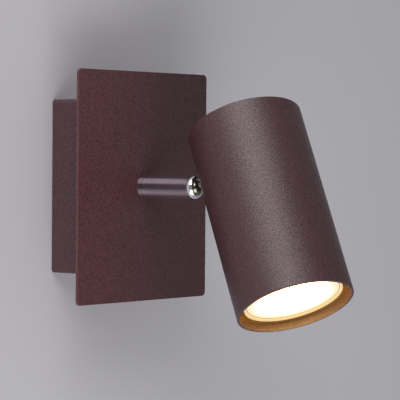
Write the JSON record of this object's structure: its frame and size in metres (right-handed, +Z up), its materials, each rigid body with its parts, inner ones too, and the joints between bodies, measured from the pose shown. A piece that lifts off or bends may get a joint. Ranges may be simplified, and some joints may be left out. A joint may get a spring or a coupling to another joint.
{
  "type": "wall spotlight",
  "caption": "Wall spotlight with a flat rectangular plate on a box, a short turning stem, a chrome ball joint and a plain tube shade over a reflector lamp.",
  "frame": {"origin": "on the wall, midway between the two wall screws, at the back face of the wall bracket", "axes": "+Y into the wall, +Z up the wall, +X to the right seen from the room"},
  "size_m": [0.105, 0.1635, 0.1314],
  "materials": {
    "brown_paint": "satin",
    "zinc_steel": "zinc-plated",
    "soft_rubber": "matte",
    "block_plastic": "matte",
    "brass": "plain",
    "tinned_lug": "tinned",
    "nylon": "plain",
    "chrome": "polished",
    "ceramic": "glazed ceramic",
    "lamp_white": "plain",
    "lamp_glass": "clear",
    "lead_insulation": "plain",
    "earth_insulation": "plain"
  },
  "bodies": {
    "wall_side": {"wall_bracket": "zinc_steel", "cable_grommet": "soft_rubber", "terminal_block": "block_plastic", "terminal_clamps": "brass", "terminal_screws": "zinc_steel", "terminal_fixing_screw": "zinc_steel", "earth_lug": "tinned_lug", "earth_screw": "zinc_steel", "back_box": "brown_paint", "box_screws": "brown_paint", "front_plate": "brown_paint", "stem_base": "brown_paint", "stem_lock_washer": "zinc_steel", "stem_nut": "brass", "wave_washer": "zinc_steel", "journal_clip": "zinc_steel", "base_leads": "lead_insulation", "base_earth_lead": "earth_insulation"},
    "stem": {"swivel_washer": "brown_paint", "stem_tube": "brown_paint", "stem_bush": "nylon", "socket_cap": "chrome", "ball_seat": "nylon", "seat_spring": "zinc_steel", "spring_plug": "brass", "stem_leads": "lead_insulation"},
    "head": {"joint_ball": "chrome", "saddle_washer": "brown_paint", "shade": "brown_paint", "shade_top": "brown_paint", "lamp_bracket": "zinc_steel", "neck_lock_washer": "zinc_steel", "neck_nut": "brass", "lamp_holder": "ceramic", "holder_contacts": "brass", "holder_screws": "zinc_steel", "lamp_rim": "lamp_white", "lamp_lens": "lamp_glass", "lamp_body": "lamp_white", "lamp_pins": "brass", "head_earth_lug": "tinned_lug", "head_earth_screw": "zinc_steel", "head_leads": "lead_insulation", "head_earth_lead": "earth_insulation"}
  },
  "joints": [
    {"name": "stem_swivel", "type": "hinge", "parent": "wall_side", "child": "stem", "pos_m": [0, -0.0352, 0], "axis": [0, 1, 0], "range_deg": [-170, 170]},
    {"name": "head_tilt", "type": "hinge", "parent": "stem", "child": "head", "pos_m": [0, -0.0648, 0], "axis": [-0.9781, 0, 0.2079], "range_deg": [-52, 48]}
  ]
}
